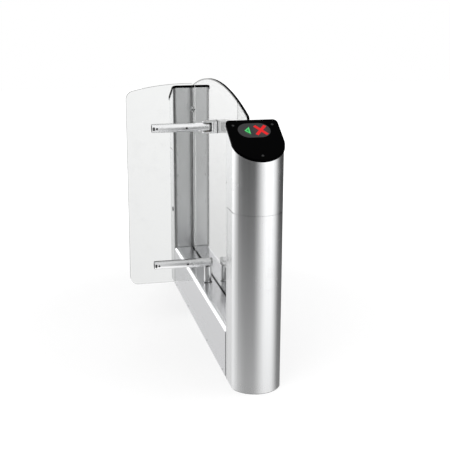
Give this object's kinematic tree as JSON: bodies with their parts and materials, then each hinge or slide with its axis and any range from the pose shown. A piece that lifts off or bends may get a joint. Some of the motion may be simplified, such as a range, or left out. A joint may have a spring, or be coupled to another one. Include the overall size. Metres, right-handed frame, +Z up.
{
  "type": "swing turnstile",
  "caption": "Waist-high swing turnstile: D-shaped steel posts on a low plinth, an arched glass screen and a glass wing on round arms that swings on a geared vertical shaft.",
  "frame": {"origin": "middle of the plinth's footprint, on the floor", "axes": "+Y along the plinth from the near post to the far post, +Z up, the wing reaches towards -X at rest"},
  "size_m": [0.4845, 1.515, 1.0829],
  "materials": {
    "brushed_steel": "vertical brushed grain, satin",
    "satin_steel": "fine satin",
    "bright_steel": "bright",
    "dark_steel": "black oxide",
    "zinc_steel": "zinc grey coat",
    "black_plate": "gloss black",
    "display_black": "gloss black",
    "green_light": "translucent, lit",
    "red_light": "translucent, lit",
    "circuit_board": "solder mask",
    "black_rubber": "matt",
    "black_plastic": "matt",
    "grey_plastic": "fine texture",
    "clear_glass": "clear, polished edges",
    "aluminium": "milled",
    "bronze": "sintered",
    "gear_steel": "oiled",
    "black_enamel": "semi-gloss black"
  },
  "bodies": {
    "frame": {"base_plate": "zinc_steel", "edge_bars": "zinc_steel", "post_brackets": "zinc_steel", "near_post_shell": "brushed_steel", "far_post_shell": "brushed_steel", "near_door": "brushed_steel", "far_door": "brushed_steel", "lock_barrels": "bright_steel", "near_top_plate": "black_plate", "far_top_plate": "black_plate", "top_plate_screws": "dark_steel", "near_display_window": "display_black", "far_display_window": "display_black", "arrow_lenses": "green_light", "cross_lenses": "red_light", "display_boards": "circuit_board", "sensor_lenses": "display_black", "post_strips": "black_rubber", "post_fixing_screws": "bright_steel", "left_plinth_cover": "brushed_steel", "right_plinth_cover": "brushed_steel", "cover_screws": "bright_steel", "glass_channel": "aluminium", "channel_brackets": "zinc_steel", "glass_gasket": "black_rubber", "centre_glass": "clear_glass", "glass_holders": "satin_steel", "holder_fixings": "bright_steel", "hinge_fork": "satin_steel", "fork_pads": "black_rubber", "fork_backing_plate": "satin_steel", "fork_bolts": "bright_steel", "hinge_bushes": "bronze", "drive_pillars": "zinc_steel", "drive_plate": "aluminium", "lower_bearing_block": "aluminium", "block_bolts": "bright_steel", "bearing_outer_rings": "bright_steel", "bearing_balls": "bright_steel", "gearbox": "aluminium", "drive_motor": "black_enamel", "motor_brake": "black_enamel", "stop_buffers": "black_rubber", "shaft_collar": "black_rubber", "control_box": "grey_plastic", "power_supply": "aluminium"},
    "wing": {"drive_shaft": "satin_steel", "shaft_gear": "gear_steel", "stop_lever": "zinc_steel", "lower_arm": "satin_steel", "upper_arm": "satin_steel", "hinge_pin": "bright_steel", "wing_glass": "clear_glass", "arm_inserts": "black_plastic", "arm_liners": "black_rubber", "arm_screws": "dark_steel", "bearing_inner_rings": "bright_steel"},
    "pinion": {"drive_pinion": "gear_steel"},
    "near_lock": {"near_lock_plug": "bright_steel"},
    "far_lock": {"far_lock_plug": "bright_steel"}
  },
  "joints": [
    {"name": "wing_swing", "type": "hinge", "parent": "frame", "child": "wing", "pos_m": [-0.044, 0, 0], "axis": [0, 0, 1], "range_deg": [-90, 90]},
    {"name": "pinion_turn", "type": "hinge", "parent": "frame", "child": "pinion", "pos_m": [-0.044, 0.054, 0], "axis": [0, 0, 1], "range_deg": [-275, 275]},
    {"name": "near_lock_turn", "type": "hinge", "parent": "frame", "child": "near_lock", "pos_m": [0.094, -0.613, 0.384], "axis": [-1, 0, 0], "range_deg": [0, 90]},
    {"name": "far_lock_turn", "type": "hinge", "parent": "frame", "child": "far_lock", "pos_m": [-0.094, 0.613, 0.384], "axis": [1, 0, 0], "range_deg": [0, 90]}
  ],
  "couplings": [
    {"joint": "pinion_turn", "follows": "wing_swing", "ratio": -3}
  ]
}
